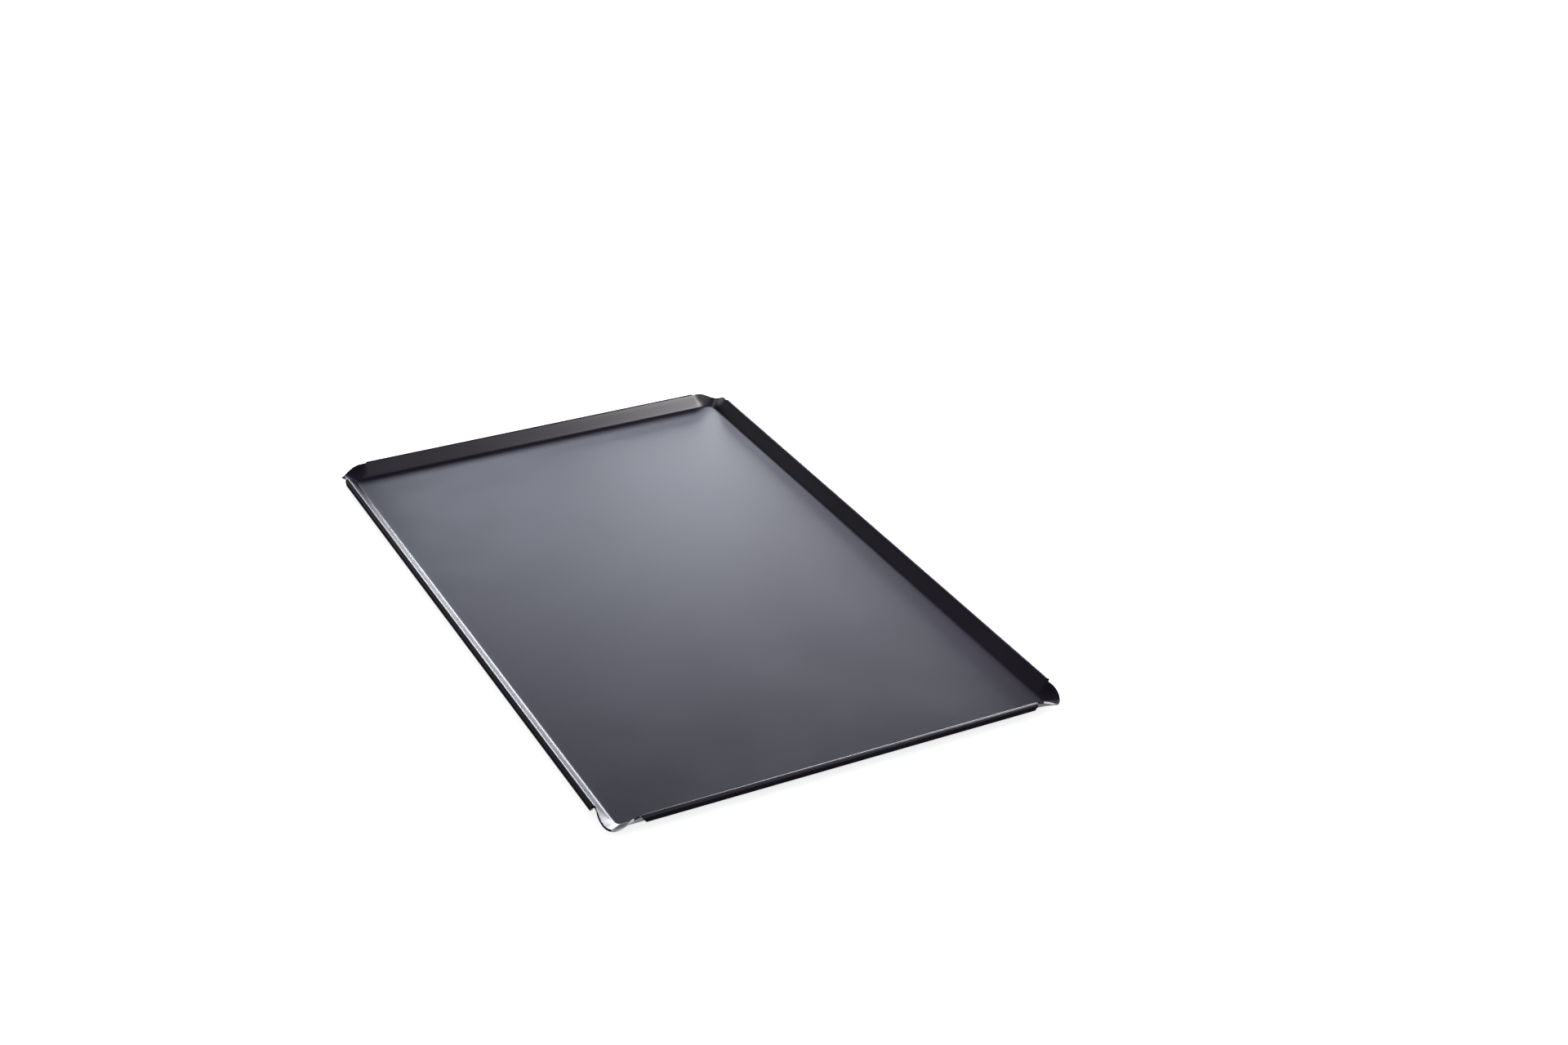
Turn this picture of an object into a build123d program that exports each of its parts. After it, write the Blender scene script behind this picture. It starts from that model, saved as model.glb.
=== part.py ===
"""One-piece baking sheet of gastronorm size, folded from a flat blank and coated on both sides.

Frame: millimetres, +Z up, +Y along the long side, origin under the middle of the floor.
The sheet is built in three layers that share every fold, so each layer lies flush on the next.
A layer is set by its two depths below the food side.
"""

from build123d import *
import math
import os

# Overall size over the outer faces of the folded lips
TRAY_WIDTH = 325.0
TRAY_LENGTH = 530.0
TRAY_HEIGHT = 10.8

# Sheet and coats
METAL_THICKNESS = 1.3
FOOD_COAT_THICKNESS = 0.1
UNDERSIDE_COAT_THICKNESS = 0.1

# Wall and folded lip
WALL_ANGLE = 50.0  # above the floor
BEND_RADIUS = 3.0  # floor to wall, on the food side
FOLD_RADIUS = 1.8  # wall to lip, on the outside of the fold
LIP_DROP = 2.6  # upright part of the lip, below its fold
LIP_END_SLANT = 2.0  # how much further from the corner the lip's lower edge ends
FREE_EDGE_RISE = 0.6  # wall metal left past the fold line where there is no lip

# Pinched corner
FAN_SETBACK = 10.7  # from the corner's pivot out to the start of each bend
LIP_SETBACK = 1.3  # from the corner's pivot back to the end of each lip
FLOOR_CORNER_RADIUS = 3.0
BLANK_CORNER_RADIUS = 19.1
VALLEY_ANGLE = 17.0  # rise of the crease along the corner's diagonal
PINCH_SHARPNESS = 1.6  # how slowly the wall starts to flatten towards the crease
FAN_SECTIONS = 13
FLAT_MARGIN = 1.0  # flat floor carried by each wall and corner before its bend starts

RIGHT_ANGLE = math.pi / 2
CUT_OVERRUN = 1.0

# Worked out from the sizes above
half_width = TRAY_WIDTH / 2
half_length = TRAY_LENGTH / 2
thickness = FOOD_COAT_THICKNESS + METAL_THICKNESS + UNDERSIDE_COAT_THICKNESS
wall_slope = math.radians(WALL_ANGLE)
valley_slope = math.radians(VALLEY_ANGLE)
fold_line_inset = FOLD_RADIUS * (1 + math.sin(wall_slope))
fold_line_height = TRAY_HEIGHT - FOLD_RADIUS * (1 - math.cos(wall_slope))
bend_rise = BEND_RADIUS * (1 - math.cos(wall_slope))
straight_rise = fold_line_height - thickness - bend_rise
straight_length = straight_rise / math.sin(wall_slope)
bend_inset = fold_line_inset + straight_rise / math.tan(wall_slope) + BEND_RADIUS * math.sin(wall_slope)
wall_run = BEND_RADIUS * wall_slope + straight_length
pivot_inset = bend_inset + FAN_SETBACK
plate_reach = FAN_SETBACK - FLAT_MARGIN
pivot_x = half_width - pivot_inset
pivot_y = half_length - pivot_inset


def rounded_square_reach(angle, half_side, corner_radius):
    """Distance from the middle of a rounded square to its side, in the quarter around a corner."""
    turn = min(angle, RIGHT_ANGLE - angle)
    core = half_side - corner_radius
    if math.tan(turn) * half_side <= core:
        return half_side / math.cos(turn)
    along = core * (math.cos(turn) + math.sin(turn))
    return along + math.sqrt(along**2 - 2 * core**2 + corner_radius**2)


class Profile:
    """Standing section of the sheet: flat floor, bend and straight wall, measured out from a pivot.

    Its points lie in a plane whose first axis runs outward and whose second is the height.
    """

    def __init__(self, start, flat, slope, length):
        self.start = start
        self.flat = flat
        self.slope = slope
        self.length = length

    def on_bend(self, turn, depth):
        radius = BEND_RADIUS + depth
        height = thickness + BEND_RADIUS - radius * math.cos(turn)
        return (self.flat + radius * math.sin(turn), height)

    def on_wall(self, length, depth):
        out, height = self.on_bend(self.slope, depth)
        past_bend = length - self.flat - BEND_RADIUS * self.slope
        return (out + past_bend * math.cos(self.slope), height + past_bend * math.sin(self.slope))

    def floor_and_bend(self, depth):
        bend = ThreePointArc(
            self.on_bend(0, depth), self.on_bend(self.slope / 2, depth), self.on_bend(self.slope, depth)
        )
        return [Line((self.start, thickness - depth), (self.flat, thickness - depth)), bend]

    def side(self, depth):
        wall = Line(self.on_bend(self.slope, depth), self.on_wall(self.length, depth))
        return self.floor_and_bend(depth) + [wall]

    def tip(self, depth):
        return self.on_wall(self.length, depth)

    def outline(self, top, bottom):
        inner_end = Line((self.start, thickness - top), (self.start, thickness - bottom))
        outer_end = Line(self.tip(bottom), self.tip(top))
        return Wire(self.side(bottom) + [outer_end] + self.side(top) + [inner_end])


class LippedProfile(Profile):
    """The same section where the rim is folded over and down into the lip."""

    def side(self, depth):
        radius = FOLD_RADIUS - depth
        centre_out = self.flat + bend_inset - FOLD_RADIUS
        centre_height = TRAY_HEIGHT - FOLD_RADIUS

        def on_fold(angle):
            return (centre_out + radius * math.cos(angle), centre_height + radius * math.sin(angle))

        fold_start = RIGHT_ANGLE + wall_slope
        wall = Line(self.on_bend(self.slope, depth), on_fold(fold_start))
        fold = ThreePointArc(on_fold(fold_start), on_fold(fold_start / 2), on_fold(0))
        lip = Line(on_fold(0), self.tip(depth))
        return self.floor_and_bend(depth) + [wall, fold, lip]

    def tip(self, depth):
        return (self.flat + bend_inset - depth, TRAY_HEIGHT - FOLD_RADIUS - LIP_DROP)


free_wall_length = FAN_SETBACK + wall_run + FREE_EDGE_RISE
free_wall = Profile(plate_reach, FAN_SETBACK, wall_slope, free_wall_length)
lipped_wall = LippedProfile(plate_reach, FAN_SETBACK, wall_slope, FAN_SETBACK + wall_run)


def standing_plane(x, y, angle):
    """Plane through an upright line, looking along the wall, with its first axis at an angle from +X."""
    outward = (math.cos(angle), math.sin(angle), 0)
    along = (math.sin(angle), -math.cos(angle), 0)
    return Plane(origin=(x, y, 0), x_dir=outward, z_dir=along)


def corner_profile(angle):
    """Section of the corner's fan: it flattens from the wall's slope to the valley crease."""
    pinch = math.sin(2 * angle) ** PINCH_SHARPNESS
    rise = math.tan(wall_slope) - (math.tan(wall_slope) - math.tan(valley_slope)) * pinch
    start = plate_reach / (math.cos(angle) + math.sin(angle))
    flat = rounded_square_reach(angle, FAN_SETBACK, FLOOR_CORNER_RADIUS)
    length = rounded_square_reach(angle, free_wall_length, BLANK_CORNER_RADIUS)
    return Profile(start, flat, math.atan(rise), length)


def corner_fan(top, bottom):
    wires = []
    for step in range(FAN_SECTIONS):
        angle = RIGHT_ANGLE * step / (FAN_SECTIONS - 1)
        plane = standing_plane(pivot_x, pivot_y, angle)
        wires.append(plane * corner_profile(angle).outline(top, bottom))
    return Solid.make_loft(wires)


def wall(profile, pivot, start, run, angle, top, bottom):
    """A straight stretch of wall, from its start along one side of the tray towards the middle."""
    foot = (pivot, start) if angle == 0 else (start, pivot)
    plane = standing_plane(*foot, angle)
    section = Face(plane * profile.outline(top, bottom))
    direction = plane.z_dir if angle == 0 else -plane.z_dir
    return extrude(section, run, dir=direction)


def lip_end_cutter(pivot, half_run, angle):
    """Wedge that slants the end of a lip, so its lower edge ends further from the corner."""
    fold_height = TRAY_HEIGHT - FOLD_RADIUS
    lip_foot = fold_height - LIP_DROP
    drop = lip_foot - CUT_OVERRUN
    slant = LIP_END_SLANT * (fold_height - drop) / LIP_DROP
    inner = pivot + FAN_SETBACK + bend_inset - FOLD_RADIUS
    outer_run = half_run + CUT_OVERRUN
    corners = [(half_run, fold_height), (half_run - slant, drop), (outer_run, drop), (outer_run, fold_height)]
    if angle == 0:
        points = [(inner, along, height) for along, height in corners]
        direction = (1, 0, 0)
    else:
        points = [(along, inner, height) for along, height in corners]
        direction = (0, 1, 0)
    return extrude(Face(Wire.make_polygon(points)), FOLD_RADIUS + CUT_OVERRUN, dir=direction)


def side_of_tray(pivot, half_run, angle, top, bottom):
    """One wall from corner fan to corner fan: a folded lip along the middle, a plain edge at each end."""
    lip_half_run = half_run - LIP_SETBACK
    across = Plane.XZ if angle == 0 else Plane.YZ
    stub = wall(free_wall, pivot, half_run, LIP_SETBACK, angle, top, bottom)
    cutter = lip_end_cutter(pivot, lip_half_run, angle)
    middle = wall(lipped_wall, pivot, lip_half_run, 2 * lip_half_run, angle, top, bottom)
    middle = middle - cutter - mirror(cutter, about=across)
    return middle + stub + mirror(stub, about=across)


def floor_plate(top, bottom):
    """Flat floor inside the bends, with its corners cut straight where the fans begin."""
    x_edge = pivot_x + plate_reach
    y_edge = pivot_y + plate_reach
    quarter = [(x_edge, pivot_y), (pivot_x, y_edge)]
    ring = quarter + [(-x, y) for x, y in reversed(quarter)]
    ring += [(-x, -y) for x, y in quarter] + [(x, -y) for x, y in reversed(quarter)]
    outline = Wire.make_polygon([(x, y, thickness - bottom) for x, y in ring])
    return extrude(Face(outline), bottom - top, dir=(0, 0, 1))


def layer(top, bottom):
    """The whole formed sheet between two depths below the food side."""
    right = side_of_tray(pivot_x, pivot_y, 0, top, bottom)
    back = side_of_tray(pivot_y, pivot_x, RIGHT_ANGLE, top, bottom)
    fan = corner_fan(top, bottom)
    far_fans = [fan, mirror(fan, about=Plane.YZ)]
    near_fans = [mirror(piece, about=Plane.XZ) for piece in far_fans]
    walls = [right, mirror(right, about=Plane.YZ), back, mirror(back, about=Plane.XZ)]
    return floor_plate(top, bottom).fuse(*walls, *far_fans, *near_fans)


metal_top = FOOD_COAT_THICKNESS
metal_bottom = FOOD_COAT_THICKNESS + METAL_THICKNESS
layers = {
    "food_side_coating": (0, metal_top),
    "aluminium_sheet": (metal_top, metal_bottom),
    "underside_coating": (metal_bottom, thickness),
}

os.makedirs("parts", exist_ok=True)
for name, (top, bottom) in layers.items():
    solid = layer(top, bottom)
    export_step(solid, f"parts/{name}.step")
    print(name, "solids", len(solid.solids()), "volume", round(solid.volume, 1), "valid", solid.is_valid)
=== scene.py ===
"""Looks of a one-piece coated baking sheet: the formed sheet, its coats, and the studio around it.

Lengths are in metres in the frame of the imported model: +Z up, +Y along the long side.
"""

import math

import bmesh
import bpy
from mathutils import Matrix, Vector


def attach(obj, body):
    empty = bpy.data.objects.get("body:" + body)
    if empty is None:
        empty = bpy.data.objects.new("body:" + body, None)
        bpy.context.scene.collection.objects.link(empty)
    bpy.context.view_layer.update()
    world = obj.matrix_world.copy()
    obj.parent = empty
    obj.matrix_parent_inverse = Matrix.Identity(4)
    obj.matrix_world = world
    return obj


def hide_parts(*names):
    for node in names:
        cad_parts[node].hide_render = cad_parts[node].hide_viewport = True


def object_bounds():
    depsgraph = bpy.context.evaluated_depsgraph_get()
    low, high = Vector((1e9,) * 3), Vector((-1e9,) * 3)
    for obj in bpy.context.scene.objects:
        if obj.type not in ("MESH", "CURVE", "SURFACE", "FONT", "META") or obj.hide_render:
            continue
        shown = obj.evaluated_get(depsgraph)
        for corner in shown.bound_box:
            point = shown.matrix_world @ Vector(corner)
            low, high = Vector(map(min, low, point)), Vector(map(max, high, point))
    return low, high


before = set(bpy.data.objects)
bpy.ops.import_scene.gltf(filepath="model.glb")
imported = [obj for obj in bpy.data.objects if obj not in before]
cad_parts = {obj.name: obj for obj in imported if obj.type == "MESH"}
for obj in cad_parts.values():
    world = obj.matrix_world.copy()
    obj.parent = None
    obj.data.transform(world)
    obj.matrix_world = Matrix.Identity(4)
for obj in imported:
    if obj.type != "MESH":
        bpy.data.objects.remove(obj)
cad_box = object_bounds()

MM = 0.001
DEG = math.pi / 180

# The tray's own sizes; the outer ones come from the frame
box_low, box_high = (Vector(corner) for corner in cad_box)
HALF_WIDTH = (box_high.x - box_low.x) / 2
HALF_LENGTH = (box_high.y - box_low.y) / 2
RIM_HEIGHT = box_high.z
FOOD_COAT = 0.1 * MM
METAL = 1.3 * MM
UNDERSIDE_COAT = 0.1 * MM
THICKNESS = FOOD_COAT + METAL + UNDERSIDE_COAT
WALL_ANGLE = 50 * DEG
BEND_RADIUS = 3.0 * MM
FOLD_RADIUS = 1.8 * MM
LIP_DROP = 2.6 * MM
LIP_END_SLANT = 2.0 * MM
FREE_EDGE_RISE = 0.6 * MM
FAN_SETBACK = 10.7 * MM
LIP_SETBACK = 1.3 * MM
FLOOR_CORNER_RADIUS = 3.0 * MM
BLANK_CORNER_RADIUS = 19.1 * MM
VALLEY_ANGLE = 17 * DEG
PINCH_SHARPNESS = 1.6
EDGE_FILM = 0.12 * MM

# How finely each stretch of the sheet is divided
FLAT_STEPS = 3
BEND_STEPS = 16
WALL_STEPS = 3
FREE_STEPS = 3
FOLD_STEPS = 20
LIP_STEPS = 3
SLANT_STEPS = 3
FAN_STEPS = 56
WALL_STRETCH = 12 * MM
STUB_STEPS = 2
WELD = 0.001 * MM
LEAST_BEND = 1e-9
PLACE_DIGITS = 9
SHARP_ANGLE = 35 * DEG
FILM_SHARP_ANGLE = 60 * DEG

RIGHT_ANGLE = 90 * DEG
fold_line_inset = FOLD_RADIUS * (1 + math.sin(WALL_ANGLE))
fold_line_height = RIM_HEIGHT - FOLD_RADIUS * (1 - math.cos(WALL_ANGLE))
straight_rise = fold_line_height - THICKNESS - BEND_RADIUS * (1 - math.cos(WALL_ANGLE))
straight_length = straight_rise / math.sin(WALL_ANGLE)
bend_inset = fold_line_inset + straight_rise / math.tan(WALL_ANGLE) + BEND_RADIUS * math.sin(WALL_ANGLE)
fold_line = FAN_SETBACK + BEND_RADIUS * WALL_ANGLE + straight_length
free_edge = fold_line + FREE_EDGE_RISE
pivot_x = HALF_WIDTH - bend_inset - FAN_SETBACK
pivot_y = HALF_LENGTH - bend_inset - FAN_SETBACK


# Shape of the sheet


def rounded_square_reach(angle, half_side, corner_radius):
    """Distance from the middle of a rounded square to its side, in the quarter around a corner."""
    turn = min(angle, RIGHT_ANGLE - angle)
    core = half_side - corner_radius
    if math.tan(turn) * half_side <= core:
        return half_side / math.cos(turn)
    along = core * (math.cos(turn) + math.sin(turn))
    return along + math.sqrt(along**2 - 2 * core**2 + corner_radius**2)


class Walk:
    """Walks along the food side of a section, and notes each point with its normal."""

    def __init__(self):
        self.out = 0.0
        self.height = THICKNESS
        self.tilt = 0.0
        self.points = []
        self.note()

    def note(self):
        self.points.append((self.out, self.height, self.tilt))

    def go(self, length, turn, steps):
        """One straight or evenly curved stretch: turn is how much the tilt rises along it."""
        for _ in range(steps):
            bend = turn / steps
            heading = self.tilt + bend / 2
            chord = length / steps
            if abs(bend) > LEAST_BEND:
                chord *= math.sin(bend / 2) / (bend / 2)
            self.out += chord * math.cos(heading)
            self.height += chord * math.sin(heading)
            self.tilt += bend
            self.note()


def free_points(flat, slope, length, curl):
    """Points from the pivot to a plain edge. curl is the turn of the last stretch, past the fold line."""
    walk = Walk()
    walk.go(flat, 0, FLAT_STEPS)
    walk.go(BEND_RADIUS * slope, slope, BEND_STEPS)
    rest = length - flat - BEND_RADIUS * slope
    past_fold = rest * FREE_EDGE_RISE / (straight_length + FREE_EDGE_RISE)
    walk.go(rest - past_fold, 0, WALL_STEPS)
    walk.go(past_fold, curl, FREE_STEPS)
    return walk


FREE_CURL = -FREE_EDGE_RISE / FOLD_RADIUS


def stub_points():
    return free_points(FAN_SETBACK, WALL_ANGLE, free_edge, FREE_CURL).points


def lipped_points(lip_share):
    """Points from the pivot to the foot of the folded lip; lip_share of 0 ends it at its fold."""
    walk = free_points(FAN_SETBACK, WALL_ANGLE, free_edge, FREE_CURL)
    rest_of_fold = -(WALL_ANGLE + RIGHT_ANGLE + FREE_CURL)
    walk.go(-rest_of_fold * FOLD_RADIUS, rest_of_fold, FOLD_STEPS)
    walk.go(LIP_DROP * lip_share, 0, LIP_STEPS)
    return walk.points


def fan_points(angle):
    pinch = math.sin(2 * angle) ** PINCH_SHARPNESS
    rise = math.tan(WALL_ANGLE) - (math.tan(WALL_ANGLE) - math.tan(VALLEY_ANGLE)) * pinch
    flat = rounded_square_reach(angle, FAN_SETBACK, FLOOR_CORNER_RADIUS)
    length = rounded_square_reach(angle, free_edge, BLANK_CORNER_RADIUS)
    return free_points(flat, math.atan(rise), length, FREE_CURL * (1 - pinch) ** 2).points


FREE_COUNT = len(stub_points())
FULL_COUNT = len(lipped_points(1))
ARC_END = FULL_COUNT - LIP_STEPS


class Section:
    """One standing section of the sheet: where it starts, which way it faces, and its points."""

    def __init__(self, origin, angle, points):
        self.origin = Vector((origin[0], origin[1], 0))
        self.outward = Vector((math.cos(angle), math.sin(angle), 0))
        self.points = points
        self.lipped = len(points) == FULL_COUNT

    def at(self, index, depth):
        out, height, tilt = self.points[index]
        out += depth * math.sin(tilt)
        height -= depth * math.cos(tilt)
        return self.origin + self.outward * out + Vector((0, 0, height))


def wall_places(half_run):
    """Distances from the tray's middle plane at which one half of a wall is divided."""
    lip_end = half_run - LIP_SETBACK
    slant_start = lip_end - LIP_END_SLANT
    stretches = max(1, round(slant_start / WALL_STRETCH))
    lipped = [slant_start * step / stretches for step in range(stretches + 1)]
    slanted = [slant_start + LIP_END_SLANT * step / SLANT_STEPS for step in range(1, SLANT_STEPS + 1)]
    stub = [lip_end + LIP_SETBACK * step / STUB_STEPS for step in range(STUB_STEPS + 1)]
    return lipped, slanted, stub


def half_wall(half_run, place, angle):
    """Sections from the middle of a wall to its corner's pivot. place gives a section's origin."""
    lipped, slanted, stub = wall_places(half_run)
    full = lipped_points(1)
    sections = [Section(place(along), angle, full) for along in lipped]
    for step, along in enumerate(slanted, start=1):
        sections.append(Section(place(along), angle, lipped_points(1 - step / SLANT_STEPS)))
    plain = stub_points()
    return sections + [Section(place(along), angle, plain) for along in stub]


def quarter_sections():
    """Sections round one quarter of the tray, from the right wall's middle to the back wall's."""
    right = half_wall(pivot_y, lambda along: (pivot_x, along), 0)
    back = half_wall(pivot_x, lambda along: (along, pivot_y), RIGHT_ANGLE)
    turns = [RIGHT_ANGLE * step / FAN_STEPS for step in range(1, FAN_STEPS)]
    fan = [Section((pivot_x, pivot_y), turn, fan_points(turn)) for turn in turns]
    return right, fan, back[::-1]


right_half, fan_sections, back_half = quarter_sections()
ring = right_half + fan_sections + back_half


def joined_pairs():
    """Neighbouring sections, and how many of their points are joined by faces."""
    for first, second in zip(ring, ring[1:]):
        if (first.origin - second.origin).length < WELD and first.lipped != second.lipped:
            continue
        yield first, second, FULL_COUNT if first.lipped and second.lipped else FREE_COUNT


def rim_path():
    """The quarter's cut edge in order, as (section, point index)."""
    last_on_right = [section for section in right_half if section.lipped][-1]
    first_on_back = [section for section in back_half if section.lipped][0]
    path = []
    for section in right_half:
        path.append((section, len(section.points) - 1))
        if section is last_on_right:
            path += [(section, index) for index in range(ARC_END - 2, FREE_COUNT - 2, -1)]
    path += [(section, FREE_COUNT - 1) for section in fan_sections]
    for section in back_half:
        if section is first_on_back:
            path += [(section, index) for index in range(FREE_COUNT - 1, ARC_END - 1)]
        path.append((section, len(section.points) - 1))
    return path


# Meshes


class Patch:
    """Collects faces as lists of points and turns them into one mesh object."""

    def __init__(self):
        self.points = []
        self.faces = []

    def face(self, *corners):
        start = len(self.points)
        self.points += corners
        self.faces.append(tuple(range(start, start + len(corners))))

    def reflection_with_painted_shadow(self, flip_x, flip_y):
        for point in self.points:
            yield Vector((-point.x if flip_x else point.x, -point.y if flip_y else point.y, point.z))

    def build(self, name, sharp_angle):
        """The quarter, mirrored to all four and welded into one closed mesh."""
        points, faces = [], []
        for flip_x in (False, True):
            for flip_y in (False, True):
                start = len(points)
                points += list(self.reflection_with_painted_shadow(flip_x, flip_y))
                faces += [tuple(start + index for index in face) for face in self.faces]
        mesh = bpy.data.meshes.new(name)
        mesh.from_pydata(points, [], faces)
        work = bmesh.new()
        work.from_mesh(mesh)
        bmesh.ops.remove_doubles(work, verts=work.verts, dist=WELD)
        bmesh.ops.dissolve_degenerate(work, edges=work.edges, dist=WELD)
        bmesh.ops.recalc_face_normals(work, faces=work.faces)
        work.to_mesh(mesh)
        work.free()
        mesh.shade_smooth()
        mesh.set_sharp_from_angle(angle=sharp_angle)
        piece = bpy.data.objects.new(name, mesh)
        bpy.context.scene.collection.objects.link(piece)
        return piece


def floor_lines():
    """Lines of the flat floor's grid, so that its border meets the walls' sections."""
    along_y = sorted({round(section.origin.y, PLACE_DIGITS) for section in right_half})
    along_x = sorted({round(section.origin.x, PLACE_DIGITS) for section in back_half})
    return along_x, along_y


def add_floor(patch, height):
    along_x, along_y = floor_lines()
    for x0, x1 in zip(along_x, along_x[1:]):
        for y0, y1 in zip(along_y, along_y[1:]):
            corners = ((x0, y0), (x1, y0), (x1, y1), (x0, y1))
            patch.face(*(Vector((x, y, height)) for x, y in corners))


def add_surface(patch, depth):
    for first, second, count in joined_pairs():
        for index in range(count - 1):
            patch.face(
                first.at(index, depth), first.at(index + 1, depth),
                second.at(index + 1, depth), second.at(index, depth),
            )


def add_cut_edge(patch, top, bottom):
    path = rim_path()
    for (first, i), (second, j) in zip(path, path[1:]):
        patch.face(first.at(i, top), first.at(i, bottom), second.at(j, bottom), second.at(j, top))


def layer(name, top, bottom):
    """A closed layer of the sheet between two depths below the food side."""
    patch = Patch()
    for depth in (top, bottom):
        add_floor(patch, THICKNESS - depth)
        add_surface(patch, depth)
    add_cut_edge(patch, top, bottom)
    return patch.build(name, SHARP_ANGLE)


FILM_SECTION_SHARES = (
    (0.0, 0.0), (0.015, 0.35), (0.05, 0.72), (0.11, 0.93), (0.2, 1.0),
    (0.8, 1.0), (0.89, 0.93), (0.95, 0.72), (0.985, 0.35), (1.0, 0.0),
)


def film_ribs(path):
    """Cross-sections of the coat that wraps the cut edge, from food side to underside."""
    edges = [(section.at(index, 0), section.at(index, THICKNESS)) for section, index in path]
    ribs = []
    for place, (top, bottom) in enumerate(edges):
        before = edges[max(place - 1, 0)]
        after = edges[min(place + 1, len(edges) - 1)]
        along = (after[0] + after[1]) - (before[0] + before[1])
        outward = (top - bottom).cross(along).normalized()
        ribs.append([
            top.lerp(bottom, share) + outward * EDGE_FILM * reach for share, reach in FILM_SECTION_SHARES
        ])
    return ribs


def edge_film(name):
    patch = Patch()
    ribs = film_ribs(rim_path())
    for first, second in zip(ribs, ribs[1:]):
        for index in range(len(first) - 1):
            patch.face(first[index], first[index + 1], second[index + 1], second[index])
        patch.face(first[-1], first[0], second[0], second[-1])
    return patch.build(name, FILM_SHARP_ANGLE)


# Materials

# The colour sockets of a Mix node share their names with others, so they go by place
FIRST_COLOUR_SOCKET = 6
SECOND_COLOUR_SOCKET = 7
MIXED_COLOUR_SOCKET = 2


class Nodes:
    """Short ways to add and join the nodes of one material or world."""

    def __init__(self, owner):
        owner.use_nodes = True
        self.tree = owner.node_tree
        self.tree.nodes.clear()

    def add(self, kind, **settings):
        node = self.tree.nodes.new(kind)
        for key, value in settings.items():
            setattr(node, key, value)
        return node

    def join(self, source, target):
        self.tree.links.new(source, target)

    def feed(self, socket, value):
        if isinstance(value, bpy.types.NodeSocket):
            self.join(value, socket)
        else:
            socket.default_value = value

    def math(self, operation, *values, clamp=False):
        node = self.add("ShaderNodeMath", operation=operation, use_clamp=clamp)
        for socket, value in zip(node.inputs, values):
            self.feed(socket, value)
        return node.outputs[0]

    def noise(self, coordinates, scale, detail=2.0, roughness=0.5):
        node = self.add("ShaderNodeTexNoise")
        self.join(coordinates, node.inputs["Vector"])
        node.inputs["Scale"].default_value = scale
        node.inputs["Detail"].default_value = detail
        node.inputs["Roughness"].default_value = roughness
        return node.outputs["Fac"]

    def stretched(self, coordinates, scale):
        node = self.add("ShaderNodeMapping")
        self.join(coordinates, node.inputs["Vector"])
        node.inputs["Scale"].default_value = scale
        return node.outputs["Vector"]

    def spread(self, value, low, high, to_low, to_high):
        node = self.add("ShaderNodeMapRange", interpolation_type="SMOOTHSTEP")
        for socket, given in zip(node.inputs, (value, low, high, to_low, to_high)):
            self.feed(socket, given)
        return node.outputs[0]

    def blend(self, first, second, share):
        """Weighted mean of two values, in which the second weighs share."""
        kept = self.math("MULTIPLY", first, 1 - share)
        return self.math("ADD", kept, self.math("MULTIPLY", second, share))

    def tint(self, share, first, second):
        node = self.add("ShaderNodeMix", data_type="RGBA")
        self.feed(node.inputs["Factor"], share)
        node.inputs[FIRST_COLOUR_SOCKET].default_value = (*first, 1)
        node.inputs[SECOND_COLOUR_SOCKET].default_value = (*second, 1)
        return node.outputs[MIXED_COLOUR_SOCKET]

    def bump(self, height, distance, strength, below=None):
        node = self.add("ShaderNodeBump")
        self.join(height, node.inputs["Height"])
        node.inputs["Distance"].default_value = distance
        node.inputs["Strength"].default_value = strength
        if below is not None:
            self.join(below, node.inputs["Normal"])
        return node.outputs["Normal"]


COAT_DARK = (0.0074, 0.0052, 0.0116)
COAT_LIGHT = (0.0110, 0.0080, 0.0164)
UNDERSIDE_DARK = (0.0095, 0.0080, 0.0125)
UNDERSIDE_LIGHT = (0.0145, 0.0125, 0.0180)
COAT_IOR = 1.36

# Each coat's least and greatest roughness, and the strength of its sprayed grain
FOOD_COAT_ROUGHNESS = (0.28, 0.33)
FOOD_COAT_GRAIN = 0.35
UNDERSIDE_ROUGHNESS = (0.33, 0.42)
UNDERSIDE_GRAIN = 0.7
EDGE_ROUGHNESS = (0.36, 0.46)
EDGE_GRAIN = 0.8

# Patterns of the coats: scales are in waves per metre, ranges are the noise values that are spread out
CLOUD_SCALE = 14
SPECKLE_SCALE = 2600
SPRAY_SCALE = 1500
PEEL_SCALE = 420
STREAK_SCALES = (18, 18, 900)
SPRAY_HEIGHT = 0.012 * MM
PEEL_HEIGHT = 0.02 * MM
SPECKLE_SHARE = 0.5
STREAK_SHARE = 0.6
SHADE_RANGE = (0.35, 0.65)
GLOSS_RANGE = (0.25, 0.75)

METAL_DARK = (0.62, 0.62, 0.64)
METAL_LIGHT = (0.76, 0.76, 0.77)
METAL_ROUGHNESS = (0.28, 0.42)
ROLLED_SCALES = (1800, 12, 1800)
ROLLED_RANGE = (0.3, 0.7)
ROLLED_HEIGHT = 0.01 * MM
ROLLED_GRAIN = 0.4


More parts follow.
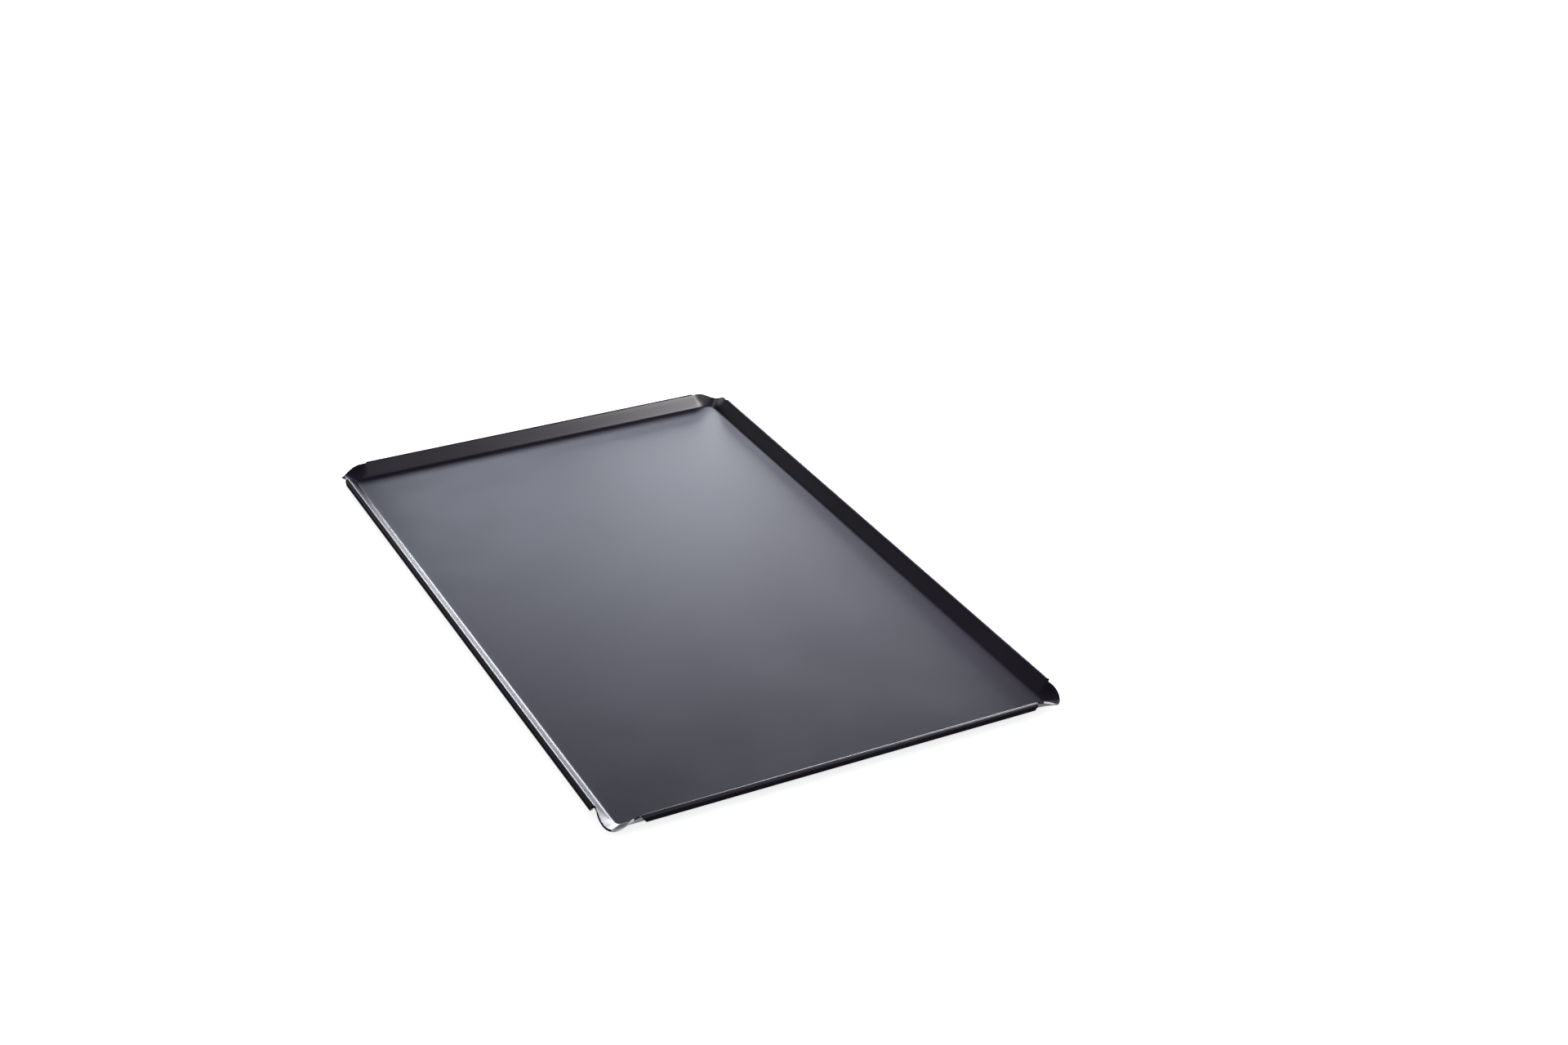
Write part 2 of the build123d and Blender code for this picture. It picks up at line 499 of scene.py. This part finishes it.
def coat_material(name, dark, light, roughness, grain):
    """Satin non-stick coat: a fine sprayed grain over faint clouding, and streaks along the sheet."""
    material = bpy.data.materials.new(name)
    nodes = Nodes(material)
    shader = nodes.add("ShaderNodeBsdfPrincipled")
    output = nodes.add("ShaderNodeOutputMaterial")
    place = nodes.add("ShaderNodeTexCoord").outputs["Object"]
    clouds = nodes.noise(place, CLOUD_SCALE, detail=3)
    speckle = nodes.noise(place, SPECKLE_SCALE, detail=2, roughness=0.7)
    shade = nodes.spread(nodes.blend(clouds, speckle, SPECKLE_SHARE), *SHADE_RANGE, 0.0, 1.0)
    nodes.join(nodes.tint(shade, dark, light), shader.inputs["Base Color"])
    streaks = nodes.noise(nodes.stretched(place, STREAK_SCALES), 1.0, detail=3)
    gloss = nodes.blend(clouds, streaks, STREAK_SHARE)
    nodes.join(nodes.spread(gloss, *GLOSS_RANGE, *roughness), shader.inputs["Roughness"])
    sprayed = nodes.noise(place, SPRAY_SCALE, detail=2.5, roughness=0.6)
    peel = nodes.bump(nodes.noise(place, PEEL_SCALE, detail=1.5), PEEL_HEIGHT, grain)
    nodes.join(nodes.bump(sprayed, SPRAY_HEIGHT, grain, below=peel), shader.inputs["Normal"])
    shader.inputs["IOR"].default_value = COAT_IOR
    nodes.join(shader.outputs["BSDF"], output.inputs["Surface"])
    return material


def sheet_material():
    """Rolled aluminium, with fine lines along the rolling direction."""
    material = bpy.data.materials.new("rolled_aluminium")
    nodes = Nodes(material)
    shader = nodes.add("ShaderNodeBsdfPrincipled")
    output = nodes.add("ShaderNodeOutputMaterial")
    place = nodes.add("ShaderNodeTexCoord").outputs["Object"]
    lines = nodes.noise(nodes.stretched(place, ROLLED_SCALES), 1.0, detail=3)
    nodes.join(nodes.tint(lines, METAL_DARK, METAL_LIGHT), shader.inputs["Base Color"])
    nodes.join(nodes.spread(lines, *ROLLED_RANGE, *METAL_ROUGHNESS), shader.inputs["Roughness"])
    nodes.join(nodes.bump(lines, ROLLED_HEIGHT, ROLLED_GRAIN), shader.inputs["Normal"])
    shader.inputs["Metallic"].default_value = 1.0
    nodes.join(shader.outputs["BSDF"], output.inputs["Surface"])
    return material


# Studio

# The table, and the ring round the tray in which its reflection is painted dark: a painted shadow of the
# tray
#  that only reflections see. The reflection stays at its darkest over the inner half of the ring.
TABLE_REACH = 12.0
TABLE_DROP = 0.05 * MM
TABLE_GREY = 0.92
TABLE_LIFT = 0.78
SHADE_RING = 0.55
SHADE_EDGE = 2 * MM
SHADE_LEVEL = 0.03

# Where reflections see the white backdrop: a heading to the right and front, and the low horizon
SIDE_WEIGHTS = (0.9, -0.3)
SIDE_RANGE = (0.1, 0.6)
HORIZON_RANGE = (0.1, 0.4)
HORIZON_SHARE = 0.9

# The world's light all round on matt surfaces, and what is left of it where reflections see a dark flag
DIM_LEVEL = 0.5
DIM_LEVEL_IN_GLOSS = 0.045
DIM_TINT = (0.93, 0.96, 1.0)

LAMP_DISTANCE = 1.3
KEY_DISTANCE = 0.8


def seen_directly(nodes, light_path):
    """1 for what the camera sees, also through glass."""
    return nodes.math("MAXIMUM", light_path["Is Camera Ray"], light_path["Is Transmission Ray"])


def studio_world():
    """White all round to the camera. Reflections see the white backdrop where no dark flag stands."""
    world = bpy.data.worlds.new("studio")
    bpy.context.scene.world = world
    nodes = Nodes(world)
    light_path = nodes.add("ShaderNodeLightPath").outputs
    direction = nodes.add("ShaderNodeTexCoord").outputs["Generated"]
    parts = nodes.add("ShaderNodeSeparateXYZ")
    nodes.join(direction, parts.inputs[0])
    x, y, z = parts.outputs
    x_part = nodes.math("MULTIPLY", x, SIDE_WEIGHTS[0])
    y_part = nodes.math("MULTIPLY", y, SIDE_WEIGHTS[1])
    side = nodes.spread(nodes.math("ADD", x_part, y_part), *SIDE_RANGE, 0.0, 1.0)
    low = nodes.spread(z, *HORIZON_RANGE, 1.0, 0.0)
    opening = nodes.math("MAXIMUM", side, nodes.math("MULTIPLY", low, HORIZON_SHARE))
    in_gloss = nodes.math("MULTIPLY", light_path["Is Glossy Ray"], opening)
    white_share = nodes.math("MAXIMUM", seen_directly(nodes, light_path), in_gloss)
    white = nodes.add("ShaderNodeBackground")
    white.inputs["Color"].default_value = (1, 1, 1, 1)
    gloss_change = nodes.math("MULTIPLY", light_path["Is Glossy Ray"], DIM_LEVEL_IN_GLOSS - DIM_LEVEL)
    dim = nodes.add("ShaderNodeBackground")
    dim.inputs["Color"].default_value = (*DIM_TINT, 1)
    nodes.join(nodes.math("ADD", gloss_change, DIM_LEVEL), dim.inputs["Strength"])
    mix = nodes.add("ShaderNodeMixShader")
    nodes.join(white_share, mix.inputs[0])
    nodes.join(dim.outputs[0], mix.inputs[1])
    nodes.join(white.outputs[0], mix.inputs[2])
    nodes.join(mix.outputs[0], nodes.add("ShaderNodeOutputWorld").inputs["Surface"])


def table_material():
    """White table that keeps the shadow; round the tray its reflection is painted dark, a painted shadow
    that only reflections see.
    """
    material = bpy.data.materials.new("white_table")
    nodes = Nodes(material)
    light_path = nodes.add("ShaderNodeLightPath").outputs
    place = nodes.add("ShaderNodeTexCoord").outputs["Object"]
    parts = nodes.add("ShaderNodeSeparateXYZ")
    nodes.join(place, parts.inputs[0])
    past_x = nodes.math("SUBTRACT", nodes.math("ABSOLUTE", parts.outputs[0]), HALF_WIDTH)
    past_y = nodes.math("SUBTRACT", nodes.math("ABSOLUTE", parts.outputs[1]), HALF_LENGTH)
    past = nodes.math("MAXIMUM", past_x, past_y)
    inner = nodes.spread(past, -SHADE_EDGE, SHADE_EDGE, 1.0, 0.0)
    outer = nodes.spread(past, SHADE_RING / 2, SHADE_RING, 0.0, 1.0)
    outside_painted_shadow = nodes.math("MAXIMUM", inner, outer)
    diffuse = nodes.add("ShaderNodeBsdfDiffuse")
    diffuse.inputs["Color"].default_value = (TABLE_GREY, TABLE_GREY, TABLE_GREY, 1)
    lift = nodes.add("ShaderNodeEmission")
    lift.inputs["Strength"].default_value = TABLE_LIFT
    lit = nodes.add("ShaderNodeAddShader")
    nodes.join(diffuse.outputs[0], lit.inputs[0])
    nodes.join(lift.outputs[0], lit.inputs[1])
    # Painted shadow: reflections see the table dark in a ring round the tray, though no lamp leaves it dark
    # there
    reflection_with_painted_shadow = nodes.add("ShaderNodeEmission")
    nodes.join(nodes.spread(outside_painted_shadow, 0.0, 1.0, SHADE_LEVEL, 1.0), reflection_with_painted_shadow.inputs["Strength"])
    direct = nodes.add("ShaderNodeMixShader")
    nodes.join(seen_directly(nodes, light_path), direct.inputs[0])
    nodes.join(diffuse.outputs[0], direct.inputs[1])
    nodes.join(lit.outputs[0], direct.inputs[2])
    mix = nodes.add("ShaderNodeMixShader")
    nodes.join(light_path["Is Glossy Ray"], mix.inputs[0])
    nodes.join(direct.outputs[0], mix.inputs[1])
    nodes.join(reflection_with_painted_shadow.outputs[0], mix.inputs[2])
    nodes.join(mix.outputs[0], nodes.add("ShaderNodeOutputMaterial").inputs["Surface"])
    return material


def table():
    mesh = bpy.data.meshes.new("table")
    reach = TABLE_REACH
    corners = [(-reach, -reach, 0), (reach, -reach, 0), (reach, reach, 0), (-reach, reach, 0)]
    mesh.from_pydata(corners, [], [(0, 1, 2, 3)])
    mesh.materials.append(table_material())
    floor = bpy.data.objects.new("table", mesh)
    floor.location.z = -TABLE_DROP
    bpy.context.scene.collection.objects.link(floor)


def towards(azimuth, elevation):
    """Unit vector; azimuth is clockwise from +Y seen from above."""
    flat = math.cos(elevation)
    return Vector((flat * math.sin(azimuth), flat * math.cos(azimuth), math.sin(elevation)))


def softbox(name, azimuth, elevation, distance, width, height, radiance, tint):
    """Rectangular lamp that faces the tray's middle. Its place is in degrees and metres."""
    data = bpy.data.lights.new(name, "AREA")
    data.shape = "RECTANGLE"
    data.size = width
    data.size_y = height
    data.energy = math.pi * width * height * radiance
    data.color = tint
    lamp = bpy.data.objects.new(name, data)
    direction = towards(azimuth * DEG, elevation * DEG)
    lamp.location = direction * distance
    lamp.rotation_euler = direction.to_track_quat("Z", "Y").to_euler()
    bpy.context.scene.collection.objects.link(lamp)


def studio_lamps():
    """Lamps placed so that the coat reflects them where the photograph shows its highlights."""
    softbox(
        "low_back_window", azimuth=46, elevation=6, distance=LAMP_DISTANCE,
        width=1.2, height=0.34, radiance=19.5, tint=(0.91, 0.94, 1.0),
    )
    softbox(
        "back_softbox", azimuth=26, elevation=25.7, distance=LAMP_DISTANCE,
        width=0.85, height=0.39, radiance=2.25, tint=(0.81, 0.83, 1.0),
    )
    softbox(
        "back_softbox_core", azimuth=18.3, elevation=23.5, distance=LAMP_DISTANCE,
        width=0.50, height=0.27, radiance=2.45, tint=(0.80, 0.90, 1.0),
    )
    softbox(
        "front_key", azimuth=102.5, elevation=50.7, distance=KEY_DISTANCE,
        width=0.12, height=0.25, radiance=60.0, tint=(1.0, 0.97, 0.98),
    )


# Camera, fitted to the photograph's rims, lips and corners

CAMERA_AZIMUTH = -27.045 * DEG
CAMERA_ELEVATION = 28.063 * DEG
CAMERA_ROLL = 0.203 * DEG
CAMERA_DISTANCE = 1.73717
CAMERA_TARGET = Vector((0.114254, 0.047735, 0))
FOCAL_PIXELS = 2848.965
FRAME_WIDTH_PIXELS = 1920
SENSOR_WIDTH = 36
NEAREST_SEEN = 0.01
FARTHEST_SEEN = 100


def add_camera():
    data = bpy.data.cameras.new("camera")
    data.sensor_width = SENSOR_WIDTH
    data.lens = SENSOR_WIDTH * FOCAL_PIXELS / FRAME_WIDTH_PIXELS
    data.clip_start = NEAREST_SEEN
    data.clip_end = FARTHEST_SEEN
    back = towards(math.pi - CAMERA_AZIMUTH, CAMERA_ELEVATION)
    right = Vector((0, 0, 1)).cross(back).normalized()
    up = back.cross(right)
    rolled_right = right * math.cos(CAMERA_ROLL) + up * math.sin(CAMERA_ROLL)
    rolled_up = up * math.cos(CAMERA_ROLL) - right * math.sin(CAMERA_ROLL)
    turn = Matrix((rolled_right, rolled_up, back)).transposed().to_4x4()
    camera = bpy.data.objects.new("camera", data)
    camera.matrix_world = Matrix.Translation(CAMERA_TARGET + back * CAMERA_DISTANCE) @ turn
    bpy.context.scene.collection.objects.link(camera)
    bpy.context.scene.camera = camera


# Assembly


def dress(piece, material, node=None):
    piece.data.materials.append(material)
    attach(piece, "root")
    if node:
        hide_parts(node)


def build_tray():
    food_coat = coat_material("food_side_coat", COAT_DARK, COAT_LIGHT, FOOD_COAT_ROUGHNESS, FOOD_COAT_GRAIN)
    underside_look = (UNDERSIDE_DARK, UNDERSIDE_LIGHT)
    under_coat = coat_material("underside_coat", *underside_look, UNDERSIDE_ROUGHNESS, UNDERSIDE_GRAIN)
    edge_coat = coat_material("edge_coat", *underside_look, EDGE_ROUGHNESS, EDGE_GRAIN)
    metal = sheet_material()
    metal_top = FOOD_COAT
    metal_bottom = FOOD_COAT + METAL
    dress(layer("coat_food_side", 0, metal_top), food_coat, "food_side_coating")
    dress(layer("sheet_metal_core", metal_top, metal_bottom), metal, "aluminium_sheet")
    dress(layer("coat_underside", metal_bottom, THICKNESS), under_coat, "underside_coating")
    dress(edge_film("coat_on_cut_edge"), edge_coat)


add_camera()
studio_world()
table()
studio_lamps()
build_tray()

bpy.context.scene.view_settings.view_transform = "Standard"
